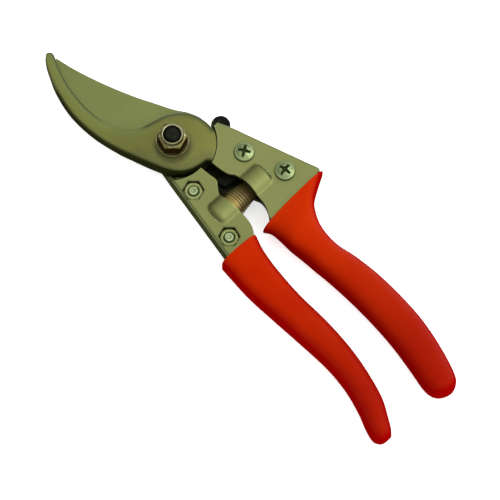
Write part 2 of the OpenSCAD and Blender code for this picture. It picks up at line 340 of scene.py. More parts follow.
class Finish(Nodes):
    """Material with one shader, its nodes wired in the object's own metres."""

    def __init__(self, name):
        self.mat = bpy.data.materials.new(name)
        self.mat.use_nodes = True
        super().__init__(self.mat.node_tree)
        self.tree.nodes.clear()
        self.bsdf = self.node("ShaderNodeBsdfPrincipled")
        self.put(self.node("ShaderNodeOutputMaterial").inputs[0], self.bsdf.outputs[0])
        self.coord = self.node("ShaderNodeTexCoord").outputs["Object"]

    def set(self, name, value):
        """Links or sets a socket of the shader itself."""
        self.put(self.bsdf.inputs[name], value)

    def noise(self, scale, detail=4, rough=0.55, stretch=(1, 1, 1), turn=(0, 0, 0)):
        m = self.node("ShaderNodeMapping", Vector=self.coord, Scale=stretch, Rotation=turn)
        return self.node("ShaderNodeTexNoise", Vector=m.outputs[0], Scale=scale, Detail=detail,
                         Roughness=rough).outputs["Fac"]

    def surface(self, output):
        return self.node("ShaderNodeNewGeometry").outputs[output]

    def painted(self, name):
        """Amount stored by paint under this name."""
        return self.node("ShaderNodeAttribute", attribute_name=name).outputs["Fac"]

    def edges(self, a, b):
        """0 on flats to 1 on convex edges."""
        return self.span(self.surface("Pointiness"), a, b, 0, 1)

    def steep(self, a, b, rough=None):
        """1 on walls to 0 on level faces, as the normal's upright part goes from a to b."""
        up = self.math("ABSOLUTE", self.part(self.surface("Normal"), 2))
        if rough:
            up = self.math("ADD", up, self.span(rough, 0.2, 0.8, -0.12, 0.12))
        return self.span(up, a, b, 1, 0)

    def bump(self, height, distance, strength, under=None):
        n = self.node("ShaderNodeBump", Strength=strength, Distance=distance, Height=height)
        if under:
            self.put(n.inputs["Normal"], under)
        return n.outputs[0]


def metal(name, dark, mid, light, worn, stain, rough, metallic=0.9, grain=(1, 1, 1), turn=0.0,
          grain_scale=900, wall=None, wall_at=(0.25, 0.75), tinted=None, pale=None, inside=None):
    """Satin metal: broad patches, fine directional grain, brighter worn edges and a few stains.

    wall is the colour of painted shade on steep sides, which also lose their shine there. tinted and
    pale are the colours of the amounts painted as "tint" (painted shade) and "pale" (a painted
    highlight), and inside that of painted shade on the lower sheet's inner side, between the handles.
    """
    grain_depth = 0.00002
    m = Finish(name)
    broad = m.noise(38, 3)
    fine = m.noise(grain_scale, 5, 0.6, grain, (0, 0, turn))
    colour = m.mix(m.span(broad, 0.32, 0.68, 0, 1), dark, mid)
    colour = m.mix(m.span(fine, 0.35, 0.7, 0, 0.35), colour, light)
    spots = m.span(m.noise(140, 6, 0.7), 0.58, 0.74, 0, 0.5)
    colour = m.mix(spots, colour, stain)
    wear = m.math("MULTIPLY", m.edges(0.52, 0.6), m.span(m.noise(260, 4), 0.35, 0.6, 0.25, 1))
    colour = m.mix(wear, colour, worn)
    dull = None
    # painted shade: steep sides darkened and dulled
    if wall:
        dull = m.steep(*wall_at, fine)
        colour = m.mix(dull, colour, wall)
    # painted shade on the back sheet's upward inner face, where it shows between the handles
    if inside:
        lower = m.span(m.part(m.coord, 2), 0.006, 0.008, 1, 0)
        facing_up = m.span(m.part(m.surface("Normal"), 2), 0.1, 0.4, 0, 1)
        colour = m.mix(m.math("MULTIPLY", lower, facing_up), colour, inside)
    # painted highlight from the "pale" amounts
    if pale:
        colour = m.mix(m.painted("pale"), colour, pale)
    # painted shade from the "tint" amounts, dulled like the walls
    if tinted:
        amount = m.math("MULTIPLY", m.painted("tint"), m.span(fine, 0.3, 0.6, 0.85, 1.0))
        colour = m.mix(amount, colour, tinted)
        dull = m.math("MAXIMUM", dull, amount) if dull else amount
    m.set("Base Color", colour)
    if dull:
        m.set("Metallic", m.span(dull, 0, 0.8, metallic, 0))
        m.set("Specular IOR Level", m.span(dull, 0, 0.8, 0.5, 0))
    else:
        m.set("Metallic", metallic)
    uneven = m.math("ADD", m.math("MULTIPLY", broad, 0.6), m.math("MULTIPLY", fine, 0.4))
    m.set("Roughness", m.math("SUBTRACT", m.span(uneven, 0.35, 0.65, *rough), m.math("MULTIPLY", wear, 0.08)))
    pits = m.bump(m.span(m.noise(420, 3, 0.5), 0.3, 0.7, 0, 1), grain_depth * 1.5, 0.35)
    m.set("Normal", m.bump(fine, grain_depth, 0.6, pits))
    return m.mat


def vinyl(name):
    """Dipped vinyl: orange-red, deeper to the rear, painted shade on steep sides, with mottling and scuffs.
    """
    m = Finish(name)
    broad = m.noise(30, 3)
    colour = m.mix(m.span(broad, 0.3, 0.7, 0, 1), (148, 24, 0), (156, 34, 1))
    rearward = m.span(m.part(m.coord, 1), -0.06, -0.125, 0, 0.75)
    colour = m.mix(rearward, colour, (116, 5, 3))
    # painted shade: steep sides darker red
    colour = m.mix(m.steep(0.3, 0.95, broad), colour, (124, 2, 1))
    specks = m.span(m.noise(700, 3), 0.6, 0.75, 0, 0.12)
    colour = m.mix(specks, colour, (104, 10, 3))
    wear = m.math("MULTIPLY", m.edges(0.515, 0.58), m.span(m.noise(180, 5), 0.4, 0.65, 0, 0.45))
    colour = m.mix(wear, colour, (166, 52, 18))
    m.set("Base Color", colour)
    m.set("Specular IOR Level", m.span(m.steep(0.3, 0.95), 0, 0.6, 0.14, 0))
    m.set("Specular Tint", (1.0, 0.18, 0.03, 1))
    scuff = m.span(m.noise(90, 6, 0.65, (1, 3, 1)), 0.45, 0.7, 0, 0.14)
    m.set("Roughness", m.math("ADD", m.span(broad, 0.3, 0.7, 0.4, 0.5), scuff))
    waves = m.bump(m.noise(60, 2, 0.4), 0.00008, 0.4)
    m.set("Normal", m.bump(m.noise(620, 2, 0.4), 0.000025, 0.5, waves))
    return m.mat


def black(name, tone, rough, sheen, tinted=None):
    """Blackened steel or black moulding with rubbed edges; tinted colours the painted tint, on the tab a
    painted reflection.
    """
    m = Finish(name)
    lighter = tuple(c * 1.9 for c in srgb(*tone)[:3]) + (1,)
    colour = m.mix(m.span(m.noise(160, 5), 0.35, 0.7, 0, 1), tone, lighter)
    # painted tint, on the tab a painted reflection
    if tinted:
        colour = m.mix(m.painted("tint"), colour, tinted)
    m.set("Specular IOR Level", 0.05)
    wear = m.math("MULTIPLY", m.edges(0.53, 0.62), m.span(m.noise(500, 4), 0.4, 0.62, 0.1, 1))
    colour = m.mix(wear, colour, sheen)
    m.set("Base Color", colour)
    m.set("Roughness", m.span(m.noise(300, 5), 0.3, 0.7, rough - 0.07, rough + 0.08))
    m.set("Normal", m.bump(m.noise(1500, 4), 0.00003, 0.5))
    return m.mat


# wall colours are painted shade on steep sides; tinted colours are painted shade, on the tab a painted
# reflection
FORGED = metal("forged_steel", (80, 82, 36), (92, 94, 44), (108, 112, 60),
               worn=(108, 116, 66), stain=(96, 86, 36), rough=(0.4, 0.52), grain=(1, 12, 1), turn=0.5,
               tinted=(16, 19, 5), pale=(92, 100, 54))
BLADE = metal("blade_steel", (82, 89, 46), (94, 102, 56), (112, 120, 74),
              worn=(120, 130, 86), stain=(96, 98, 52), rough=(0.4, 0.52), grain=(14, 1, 1), turn=0.35,
              wall=(50, 55, 24), tinted=(10, 12, 5))
PRESSED = metal("pressed_steel", (90, 94, 50), (101, 106, 60), (120, 126, 82),
                worn=(118, 132, 88), stain=(108, 98, 54), rough=(0.36, 0.48), grain=(1, 9, 1),
                turn=-0.2, wall=(66, 70, 36), wall_at=(0.1, 0.4), tinted=(20, 24, 7),
                inside=(20, 22, 8))
ZINC = metal("zinc_plate", (88, 100, 62), (108, 120, 80), (152, 164, 124),
             worn=(170, 184, 144), stain=(64, 70, 34), rough=(0.16, 0.26), metallic=1.0,
             grain_scale=1400, wall=(40, 50, 22), wall_at=(0.3, 0.85), tinted=(28, 40, 12))
NUT = metal("nut_plate", (92, 98, 54), (108, 114, 68), (140, 148, 100),
            worn=(160, 170, 122), stain=(72, 76, 36), rough=(0.26, 0.36), metallic=1.0,
            grain_scale=1400, wall=(58, 64, 32), wall_at=(0.1, 0.5))
PIVOT = metal("pivot_plate", (66, 62, 28), (86, 82, 42), (120, 116, 74),
              worn=(176, 176, 136), stain=(60, 38, 14), rough=(0.2, 0.3), metallic=1.0,
              wall=(30, 18, 5), wall_at=(0.2, 0.7))
WASHER = metal("washer_plate", (64, 62, 26), (78, 76, 36), (100, 98, 54),
               worn=(134, 134, 92), stain=(62, 42, 16), rough=(0.28, 0.4),
               wall=(30, 20, 6), wall_at=(0.2, 0.7))
STRIP = metal("spring_strip", (96, 82, 42), (112, 98, 54), (134, 122, 76),
              worn=(150, 136, 86), stain=(66, 48, 20), rough=(0.3, 0.42), metallic=1.0,
              grain=(1, 1, 10), tinted=(14, 8, 1))
BLACK_BOLT = black("black_bolt", (5, 6, 4), 0.5, (24, 27, 15))
TAB = black("tab_plastic", (5, 6, 4), 0.55, (24, 28, 12), tinted=(72, 78, 38))
# the lever's near-black is painted shade, for the upper sheet's shadow over it
LEVER = black("lever_steel", (10, 12, 6), 0.55, (36, 42, 22))
NYLON = black("nylon", (7, 7, 5), 0.55, (20, 20, 13))
GRIP = vinyl("grip_vinyl")


# ---- pieces
def place(obj, body, node):
    """Rides on its body in place of a CAD node."""
    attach(obj, body)
    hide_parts(node)


# hook: jaw and hub lofted from tip to hub, then the tang between the sheets
DOME_D = 230.0
TOP_DROP = 0.06


def hook_levels(x, y):
    """Heights of the hub's dome, part of a ball DOME_D across, and of the jaw's top."""
    return HUB_Z - (x * x + y * y) / DOME_D, TANG_TOP - 0.5 * ramp(y, 30, 62)


def hook_top(p, d, w):
    return level_max(*hook_levels(p.x, p.y), 0.5) - TOP_DROP


def hook_tint(left, right):
    """Painted shade: black on the outer wall and the jaw's rim, dark at the inner edge, the hub rim and round
    the nut's foot.
    """
    def tint(x, y, z):
        inner, outer = distance(x, y, right), distance(x, y, left)
        top = max(hook_levels(x, y)) - TOP_DROP
        wall = (1 - ramp(outer, 0.7, 1.3)) * ramp(top - z, 0.12, 0.55)
        jaw_rim = 0.92 * (1 - ramp(outer, 0.4, 1.9)) * ramp(y, -9, -2) * (1 - ramp(y, 46, 56))
        line = max(0.65 * (1 - ramp(inner, 0.4, 1.2)) * ramp(y, 22, 32),
                   0.7 * (1 - ramp(inner, 0.7, 2.6)) * ramp(x, -6, -1))
        hub_rim = max(0.6 * (1 - ramp(outer, 0.4, 2.6)), 0.3 * (1 - ramp(outer, 1, 6))) * (1 - ramp(y, 6, 12))
        nut = 0.6 * (1 - ramp(hypot(x + 0.9, y + 1.3), 6.3, 8.6))
        return max(wall, jaw_rim, line, hub_rim, nut)

    return tint


def build_hook():
    steps = [3, 4, 4, 6, 8, 9, 9, 8, 7, 7, 6, 5, 5, 4, 3]
    left = curve([(-4.9, 62.35), (-6.5, 61.2), (-8.5, 58.6), (-10.4, 55.4), (-14.1, 48.2), (-17.2, 37.5),
                  (-17.8, 25.5), (-16.3, 14.3), (-14.6, 7.5), (-12.9, 1.3), (-10.6, -5.4), (-7.9, -10.2),
                  (-4, -13.2), (0.2, -14.5), (3.4, -15.1), (4.5, -16.7)], steps)
    right = curve([(-3.9, 62.35), (-2.7, 60.9), (-3.6, 58.3), (-5.6, 54.8), (-8.9, 46.6), (-11, 36.4),
                   (-11, 27), (-8.3, 18.2), (-4.2, 13.8), (1.5, 11.8), (7.4, 9.6), (12, 5.9),
                   (14.5, 1.4), (15.3, -3), (15.1, -6.6), (14.9, -8.1)], steps)
    bow = numbers([0, 0, 0, 0, 0, 0, 0, 0, 0, 0, 0, -0.3, -0.6, -1, -1.3, -1.44], steps)
    r_left = numbers([0.4, 0.7, 0.8, 0.9, 0.9, 1, 1.1, 1.2, 1.5, 1.9, 2.3, 2.5, 2.5, 2.2, 1.6, 1], steps)
    r_right = numbers([0.4, 0.5, 0.7, 0.7, 0.7, 0.5, 0.15, 0.15, 0.6, 2.2, 2.2, 1.9, 1.7, 1.3, 1, 0.8], steps)
    s = Shell()
    loft(s, left, right, bow, hook_top, lambda p, d, w: SHEAR_Z, r_left, r_right, (1, 3, 6))
    tang = soft([[4.7, -15.6, 0.4], [9, -24.4, 3], [13.2, -28.2, 2], [15.4, -36.5, 3], [15.6, -44.4, 2],
                 [18.5, -47.8, 2], [25, -47.2, 2], [23.6, -39, 0], [15.9, -12.8, 1], [14.6, -7.6, 0.4]])
    s.slab(tang, SHEAR_Z + 0.01, TANG_TOP - 0.02)
    seat_r, seat_z = 6.3, SHEAR_Z + 1
    s.turned([(0, seat_z), (seat_r, seat_z), (seat_r, HUB_Z - 0.1), (seat_r - 0.1, HUB_Z), (0, HUB_Z)])
    obj = s.make("counter_blade_hook", FORGED, tint=hook_tint(left, right))
    # painted highlight: a lighter band on the hook beside its inner edge
    paint(obj, lambda x, y, z: ramp(y, 3, 14) * (1 - ramp(distance(x, y, right), 0.5, 5)), "pale")
    place(obj, "hook_side", "hook")


# blade: flat face up against the hook, ground bevel on its back
BEVEL_W, EDGE_T = 6.2, 0.28


def blade_low(p, d, w):
    """Underside, lifted by the bevel next to the cutting edge."""
    bevel = 0.3 + BEVEL_W * ramp(p.y, 3, 14)
    lift = (BLADE_TOP - EDGE_T - BLADE_LOW) * (1 - min(d / bevel, 1)) * ramp(p.y, 1, 8)
    return BLADE_LOW + lift


def build_blade():
    steps = [5, 6, 8, 8, 8, 7, 6, 5, 4]
    right = curve([(-2.3, 59), (-1.2, 51.3), (0.9, 41.9), (3.4, 33.2), (6.3, 24.6), (9.2, 17.5),
                   (12.1, 10.4), (15.1, 5), (16.6, -0.2), (16, -4.4)], steps)
    left = curve([(-3.3, 58.8), (-7.6, 52.6), (-11.2, 45), (-13.6, 36), (-14.1, 27.5), (-12.6, 18.5),
                  (-10.9, 10.5), (-10.7, 4), (-9, -1.2), (-7.9, -4.2)], steps)
    n = len(left)
    s = Shell()
    loft(s, left, right, [0] * n, lambda p, d, w: BLADE_TOP, blade_low, [0.05] * n, [0.4] * n,
         (0.6, 3.2, 6.5))
    outline = [Vector((16.25, -3.2)), Vector((-8.2, -3.4))] + soft([
        [-7.9, -4.4, 0.3], [-9.2, -9.8, 1], [-13.6, -28, 0], [-17.9, -46.4, 1.5], [-11.6, -47, 2],
        [-10.4, -40.4, 2], [-12.8, -38.6, 0.6], [-11.4, -27.4, 1], [-4.6, -27.5, 1], [-1.4, -27.6, 0.8],
        [0.1, -25, 1], [0.1, -17.8, 0.8], [0.9, -16.3, 0.6]])
    outline += arc(16, 274, 286, 4)
    outline += soft([[4.9, -15.3, 0], [4.9, -19.3, 0.8], [7.3, -19, 1], [9.3, -13.6, 0]])
    outline += arc(16.3, 305, 342, 10)
    s.slab(outline, BLADE_LOW + 0.005, BLADE_TOP - 0.005, 0.4, 0.2)
    # painted shade: the tang dark between the sheets, clean where it cuts
    obj = s.make("cutting_blade_ground", BLADE, smooth=25, tint=lambda x, y, z: ramp(-y, 11, 15))
    place(obj, "blade_side", "cutting_blade")


# ---- handles: one sheet folded round the outer edge, pressed out over the spring
SPRING_AT, SPRING_TURN = Vector((2.5, -34.1)), radians(-5)
FOLD_R, FOLD_N, WEB_N = 1.3, 6, 8
POCKET_R, POCKET_L, POCKET_END = 7.2, 14, 2.4
SHEET_HALF = SHEET_TOP - MID_Z
NUTS_AT = [Vector((-9.4, -19.4)), Vector((-14.5, -42.6))]
HEX_TURN = radians(11.6)
RECESS_AF, RECESS_DEPTH = 7.3, 4.0
RECESS_LIP = 0.35


def hex_distance(x, y, turn=HEX_TURN):
    """Distance from the centre, measured square to the nearest flat of a hexagon."""
    return max(abs(x * cos(turn + k * pi / 3 + pi / 6) +
                   y * sin(turn + k * pi / 3 + pi / 6)) for k in range(3))


def on_spring(x, y):
    """Distances along and across the spring's axis."""
    d = Vector((x, y)) - SPRING_AT
    c, s = cos(SPRING_TURN), sin(SPRING_TURN)
    return d.x * c + d.y * s, -d.x * s + d.y * c


def pocket(x, y, closed, side):
    """How far the sheet is pressed out at a point; closed is where the pocket's blind end lies."""
    along, across = on_spring(x, y)
    e = (along - closed) * side
    if e <= 0 or e > POCKET_L or abs(across) >= POCKET_R + 0.3:
        return 0.0
    r, foot = POCKET_R, SHEET_HALF - 0.2
    if e <= POCKET_END:
        r = foot + (POCKET_R - foot) * sqrt(1 - (1 - e / POCKET_END) ** 2)
    q = sqrt(max(r * r - across * across, 0)) - SHEET_HALF
    return max(level_max(q, 0, 0.35) - 0.04, 0)


def edge_line(a, b, arch, height):
    """Function of t along a sheet's cross line from a to b, arched sideways by arch(t) times height."""
    d = (b - a).normalized()
    side = Vector((-d.y, d.x)) * height
    return lambda t: a.lerp(b, t) + side * arch(t)


def half_sheet(stations, steps, bow, press, cols, level, up):
    """Points of one sheet from its inner edge to the end of its fold, a list for each cross line.

    stations are (inner point, outer point); bow is (arch, its height at each station) and arches
    the sheet's end round the hub; up is 1 for the front sheet and -1 for the back one.
    """
    inner, outer = curve([a for a, b in stations], steps), curve([b for a, b in stations], steps)
    arch, heights = bow
    rows = []
    for a, b, height in zip(inner, outer, numbers(heights, steps)):
        at, reach = edge_line(a, b, arch, height), 1 - FOLD_R / (b - a).length
        flat = [at(reach * k / cols) for k in range(cols + 1)]
        row = [(p.x, p.y, level + up * press(p.x, p.y)) for p in flat]
        for k in range(1, FOLD_N + 1):
            f = pi / 2 * k / FOLD_N
            p = at(reach + (1 - reach) * sin(f))
            row.append((p.x, p.y, level - up * FOLD_R * (1 - cos(f))))
        rows.append(row)
    return rows, outer


def channel(name, front, back, steps, bows, press, cols, drop_face, nuts=()):
    """Sheet folded round its outer edge; nuts are the centres of the hexagonal recesses in its front.

    front and back are the two sides' stations, and bows their bows, as half_sheet takes them; a face
    is left out where drop_face(its corners) is true.
    """
    top, top_edge = half_sheet(front, steps, bows[0], press, cols, SHEET_TOP, 1)
    low, low_edge = half_sheet(back, steps, bows[1], press, cols, SHEET_LOW, -1)
    rows = []
    for top_row, low_row, a, b in zip(top, low, top_edge, low_edge):
        web = []
        for k in range(1, WEB_N):
            p = a.lerp(b, k / WEB_N)
            web.append((p.x, p.y, SHEET_TOP - FOLD_R + k / WEB_N * (SHEET_LOW - SHEET_TOP + 2 * FOLD_R)))
        rows.append(top_row + web + low_row[::-1])
    m = len(rows[0])
    verts = [v for r in rows for v in r]
    faces = []
    for i in range(len(rows) - 1):
        for j in range(m - 1):
            f = (i * m + j, i * m + j + 1, (i + 1) * m + j + 1, (i + 1) * m + j)
            if not drop_face([verts[q] for q in f]):
                faces.append(f)
    obj = new_object(name, verts, faces, PRESSED)
    mesh = obj.data
    bm = bmesh.new()
    bm.from_mesh(mesh)
    for centre in nuts:
        cut_recess(bm, centre)
    bmesh.ops.recalc_face_normals(bm, faces=bm.faces)
    if max(bm.faces, key=lambda f: f.calc_center_median().z).normal.z < 0:
        bmesh.ops.reverse_faces(bm, faces=bm.faces)
    loose = [v for v in bm.verts if not v.link_faces]
    bmesh.ops.delete(bm, geom=loose, context="VERTS")
    bm.to_mesh(mesh)
    bm.free()
    for p in mesh.polygons:
        p.use_smooth = True
    s = obj.modifiers.new("sheet", "SOLIDIFY")
    s.thickness, s.offset, s.use_even_offset = SHEET_T * MM * 0.98, -1, True
    if nuts:
        s.vertex_group = thin_walls(obj, nuts)
    soften_rims(obj, 0.22, 50)
    return obj


def soften_rims(obj, width, angle):
    """Bevels the edges sharper than angle degrees."""
    b = obj.modifiers.new("rims", "BEVEL")
    b.width, b.segments, b.limit_method, b.angle_limit = width * MM, 2, "ANGLE", radians(angle)


def thin_walls(obj, centres):
    """Vertex group that makes the recess walls thinner than the sheet, so they stay inside the fold."""
    group = obj.vertex_groups.new(name="thick")
    for v in obj.data.vertices:
        x, y, z = v.co / MM
        thin = z > MID_Z and any(hex_distance(x - c.x, y - c.y) < RECESS_AF / 2 + 0.02 for c in centres)
        group.add([v.index], 0.45 if thin else 1, "REPLACE")
    return group.name


def cut_recess(bm, centre):
    """Cuts a hexagon out of the top sheet and draws its edge down into walls."""
    c = Vector((centre.x * MM, centre.y * MM, SHEET_TOP * MM))

    def near(f):
        q = f.calc_center_median()
        return abs(q.z - c.z) < 0.3 * MM and (q - c).length < 6.5 * MM

    for k in range(6):
        a = HEX_TURN + k * pi / 3 + pi / 6
        n = Vector((cos(a), sin(a), 0))
        local = [f for f in bm.faces if near(f)]
        parts = [e for f in local for e in f.edges] + [v for f in local for v in f.verts]
        geom = local + list(dict.fromkeys(parts))
        bmesh.ops.bisect_plane(bm, geom=geom, plane_co=c + n * RECESS_AF / 2 * MM, plane_no=n, dist=1e-6)

    def past(p):
        """How far a point lies outside the hexagon, in millimetres."""
        return hex_distance(*((p - c) / MM).xy) - RECESS_AF / 2

    inside = [f for f in bm.faces if near(f) and past(f.calc_center_median()) < -1e-3]
    bmesh.ops.delete(bm, geom=inside, context="FACES")
    rim = [e for e in bm.edges if e.is_boundary and
           all(abs(past(v.co)) < 0.02 and abs(v.co.z - c.z) < 0.25 * MM for v in e.verts)]
    for step in (RECESS_LIP, RECESS_DEPTH - RECESS_LIP):
        out = bmesh.ops.extrude_edge_only(bm, edges=rim)["geom"]
        for v in [g for g in out if isinstance(g, bmesh.types.BMVert)]:
            v.co.z -= step * MM
        rim = [g for g in out if isinstance(g, bmesh.types.BMEdge)]


def upper_x(y):
    """The upper handle's straight outer edge."""
    return 18.95 - (y + 8.2) * 0.2715


def lower_x(y):
    """The lower handle's straight outer edge."""
    return -10.0 + (y + 2.4) * 0.243


def web_shade(z):
    """Painted shade on the folded edge between the sheets, full near its foot, none on the sheets."""
    under_top = 1 - ramp(z, SHEET_TOP - 1.3, SHEET_TOP - 0.1)
    near_foot = 1 - ramp(z, SHEET_LOW + 1, SHEET_LOW + 4)
    return 0.5 * (under_top + near_foot) * ramp(z, SHEET_LOW, SHEET_LOW + 0.5)


def shade_rims(obj, amount):
    """Darkens the cut edges of a sheet, fading out by its next row of points."""
    count = Counter(key for p in obj.data.polygons for key in p.edge_keys)
    data = obj.data.attributes["tint"].data
    for key, faces in count.items():
        for v in key if faces == 1 else ():
            data[v].value = max(data[v].value, amount)


def build_upper_handle():
    shared = [((1.6, -50.2), (29.3, -50.6)), ((1.8, -52), (25, -51.9)), ((2, -54.5), (20.3, -54.3)),
              ((2.1, -58.5), (16, -58)), ((2.1, -63), (13.4, -62.2)), ((2.1, -69), (11, -68)),
              ((2.1, -76), (9.8, -75)), ((2, -84), (10.8, -84)), ((1.4, -96), (11.2, -95)),
              ((0.2, -108.5), (10.4, -107.2)), ((-1.6, -120), (8.8, -118.4)), ((-3.6, -127.5), (6.8, -126))]
    outer = [(18.3, -7.7)] + [(upper_x(y), y) for y in (-13.5, -19, -25, -31.5, -39, -45, -49.4)]
    front = list(zip([(3.96, -17.15), (4, -21), (4.6, -25), (6.2, -28), (6.3, -33), (5.4, -39.6),
                      (4.3, -44.6), (2.2, -48.4)], outer)) + shared
    back = list(zip([(1.3, -14.94), (0.9, -21), (0.3, -24.2), (-0.6, -26.9), (4.4, -31), (6.6, -39.6),
                     (5.6, -44.6), (2.8, -48.4)], outer)) + shared
    steps = [12, 12, 11, 14, 17, 13, 10, 6] + [3] * 11

    def hub_arch(start, r):
        """Arch that follows a circle round the hub from start and runs straight to the outer corner."""
        end = 0.89
        a, b = Vector(start), Vector(outer[0])
        d = (b - a).normalized()
        foot, reach, w = -a.dot(d), a.dot(Vector((d.y, -d.x))), (b - a).length
        turn = sqrt(r * r - (end * w - foot) ** 2) - reach

        def arch(t):
            if t < end:
                return reach - sqrt(r * r - (t * w - foot) ** 2)
            return -turn * (1 - t) / (1 - end)

        return arch

    weights = [1, 0.35] + [0] * 18
    bows = ((hub_arch(front[0][0], 17.6), weights), (hub_arch(back[0][0], 15), weights))

    def open_for_tab(q):
        """Whether a face of the folded edge lies where the thumb tab's arm comes out."""
        y, z = (sum(v[i] for v in q) / 4 for i in (1, 2))
        return y > -21.5 and BLADE_LOW + 0.1 < z < TANG_TOP - 0.1

    obj = channel("upper_handle_channel", front, back, steps, bows, lambda x, y: pocket(x, y, 13, -1), 62,
                  open_for_tab)
    # painted shade on the folded edge and the cut edges
    paint(obj, lambda x, y, z: 0.8 * web_shade(z))
    shade_rims(obj, 0.75)
    place(obj, "hook_side", "upper_handle")


def build_lower_handle():
    def straight(*pairs):
        """Stations from (inner point, y of the outer point) along the straight outer edge."""
        return [(inner, (lower_x(y), y)) for inner, y in pairs]

    shared = straight(((-4.1, -28.4), -29.5), ((-4.1, -33), -34), ((-4.1, -37), -38.2), ((-4.2, -41.5), -42),
                      ((-5.1, -45.4), -45), ((-6.7, -48.4), -47.6)) + [
        ((-9.4, -51.5), (-22, -50.4)), ((-11.6, -56), (-23.1, -55)), ((-13.9, -64), (-24.4, -63.5)),
        ((-16.3, -78), (-25, -77.5)), ((-17.5, -94), (-25.3, -93)), ((-19.3, -107.5), (-26.3, -106)),
        ((-22.3, -118.5), (-28.7, -117)), ((-25.1, -127), (-31.3, -126))]
    front = straight(((-0.54, -15.4), -10.6), ((-0.45, -19.5), -16), ((-0.4, -23.4), -22),
                     ((-2.4, -25.8), -26)) + shared
    back = [((0, -10.2), (-10.1, -3.4))] + straight(((0, -16.5), -11), ((-0.2, -23.4), -20),
                                                      ((-2.4, -25.8), -25)) + shared
    steps = [13, 13, 11, 10, 12, 11, 12, 10, 8] + [4] * 8

    def arch(t):
        return 4 * t * (1 - t)

    bows = ((arch, [1.17, 0.4] + [0] * 16), (arch, [1.7, 0.6] + [0] * 16))
    obj = channel("lower_handle_channel", front, back, steps, bows, lambda x, y: pocket(x, y, -15, 1), 40,
                  lambda q: False, NUTS_AT)

    def tint(x, y, z):
        """Painted shade on the folded edge and in a ring round the recesses."""
        past = min(hex_distance(x - c.x, y - c.y) for c in NUTS_AT) - RECESS_AF / 2
        return max(web_shade(z), 0.7 * (1 - ramp(past, 0.1, 0.65)) * ramp(z, MID_Z, SHEET_TOP - 0.5))

    paint(obj, tint)
    place(obj, "blade_side", "lower_handle")


# ---- grips: closed sleeves with an open collar
GRIP_SIDES, GRIP_END = 56, 13
GRIP_WALL, GRIP_WALL_Z = 1.5, 1.9


def build_grip(name, node, outer, inner, body, depth_rows, inner_round=0):
    """Sleeve between an outer and an inner side line, hollow for its first depth_rows stations.

    Its section goes from nearly square at the collar to oval; inner_round softens the collar's
    inner side.
    """
    pa, pb = curve(outer, 6), curve(inner, 6)
    m = len(pa)

    def ring(i, side, up, slide=0):
        """Ring at station i; side and up pull it in from the outer skin."""
        c, h = (pa[i] + pb[i]) / 2, (pb[i] - pa[i]) / 2
        past = max(i - m + GRIP_END, 0) / GRIP_END
        half = GRIP_T / 2 * sqrt(max(0.02, 1 - past**2)) - up
        scale = max(h.length - side, 0.2) / max(h.length, 1e-6)
        square = 0.56 + 0.26 * ramp(i, 6, 34)
        out = []
        for j in range(GRIP_SIDES):
            t = 2 * pi * j / GRIP_SIDES
            ct, st = cos(t), sin(t)
            power = square + (inner_round * (1 - ramp(i, 4, 20)) if ct > 0 else 0)
            u = copysign(abs(ct) ** power, ct) * scale
            v = copysign(abs(st) ** power, st)
            out.append((c.x + h.x * u, c.y + h.y * u + slide, GRIP_T / 2 + half * v))
        return out

    rings = [ring(i, GRIP_WALL, GRIP_WALL_Z) for i in range(depth_rows, -1, -3)]
    rings += [ring(0, GRIP_WALL * f, GRIP_WALL_Z * f, slide) for f, slide in ((0.75, 0.16), (0.4, 0.2))]
    rings.append(ring(0, 0.12, 0.2, 0.12))
    rings += [ring(i, 0.35 * ramp(i, 0, 7), 0.02) for i in range(m)]
    s = Shell()
    s.rings(rings)
    place(s.make(name, GRIP, smooth=60), body, node)


def build_grips():
    upper_out = [(30.7, -51.3), (26.9, -53.1), (20.6, -56.3), (16.7, -60.2), (13.5, -66.4), (12.2, -75),
                 (13.2, -84), (13.6, -95), (12.8, -107), (11.3, -118), (8.8, -128), (5.6, -137.3),
                 (2.9, -143.5), (0.7, -146.9), (-2.2, -148.3)]
    upper_in = [(-3, -50), (-1.7, -53.2), (-1.6, -58.5), (-1.8, -63), (-1.7, -69), (-1.8, -76),
                (-1.8, -84), (-2.4, -96), (-3.7, -108.3), (-5.6, -119.7), (-8.3, -130.7), (-10.4, -138.2),
                (-10.6, -142.3), (-9.2, -145.2), (-6.2, -147.4)]
    lower_out = [(-24.5, -47.7), (-25.6, -53.2), (-27, -63.4), (-27.6, -77), (-28.1, -92.4), (-28.8, -105.4),
                 (-30.8, -116.3), (-34.2, -126), (-37.8, -133.5), (-39.2, -138.4), (-37.8, -141.7)]
    lower_in = [(-6.7, -49.7), (-9, -55.9), (-11.1, -64), (-13.3, -78), (-14.4, -94), (-16.4, -107.5),
                (-19.4, -119), (-23.6, -130.2), (-28.2, -137.4), (-30.6, -140.8), (-32.4, -142.6)]
    build_grip("upper_grip_sleeve", "upper_grip", upper_out, upper_in, "hook_side", 12, 0.3)
    build_grip("lower_grip_sleeve", "lower_grip", lower_out, lower_in, "blade_side", 9)


# ---- fasteners
HEAD_R, HEAD_H, HEAD_DOME = 4.05, 2.1, 0.95
HEAD_FLAT = HEAD_R - 0.95


def cross_recess(x, y, turn):
    """Depth at a point of a screw head of a cross recess turned by an angle."""
    c, q = cos(turn), sin(turn)
    ax, ay, r = abs(x * c + y * q), abs(y * c - x * q), hypot(x, y)
    half_w, reach, core = 0.72 - 0.07 * r, 2.6, 1.05
    outside = min(max(ay - half_w, ax - reach), max(ax - half_w, ay - reach), r - core)
    return min(max(-outside / 0.2, 0), 1) * max(1.5 - 0.4 * r, 0.3)


def cross_tint(heads, top, up):
    """Shade in the cross recesses of screw heads, given as (centre, turn), that stand up from top."""
    def tint(x, y, z):
        return max(ramp(cross_recess(x - cx, y - cy, turn), 0.05, 0.4)
                   if (z - top) * up > 0 and hypot(x - cx, y - cy) < HEAD_FLAT else 0
                   for (cx, cy), turn in heads)

    return tint


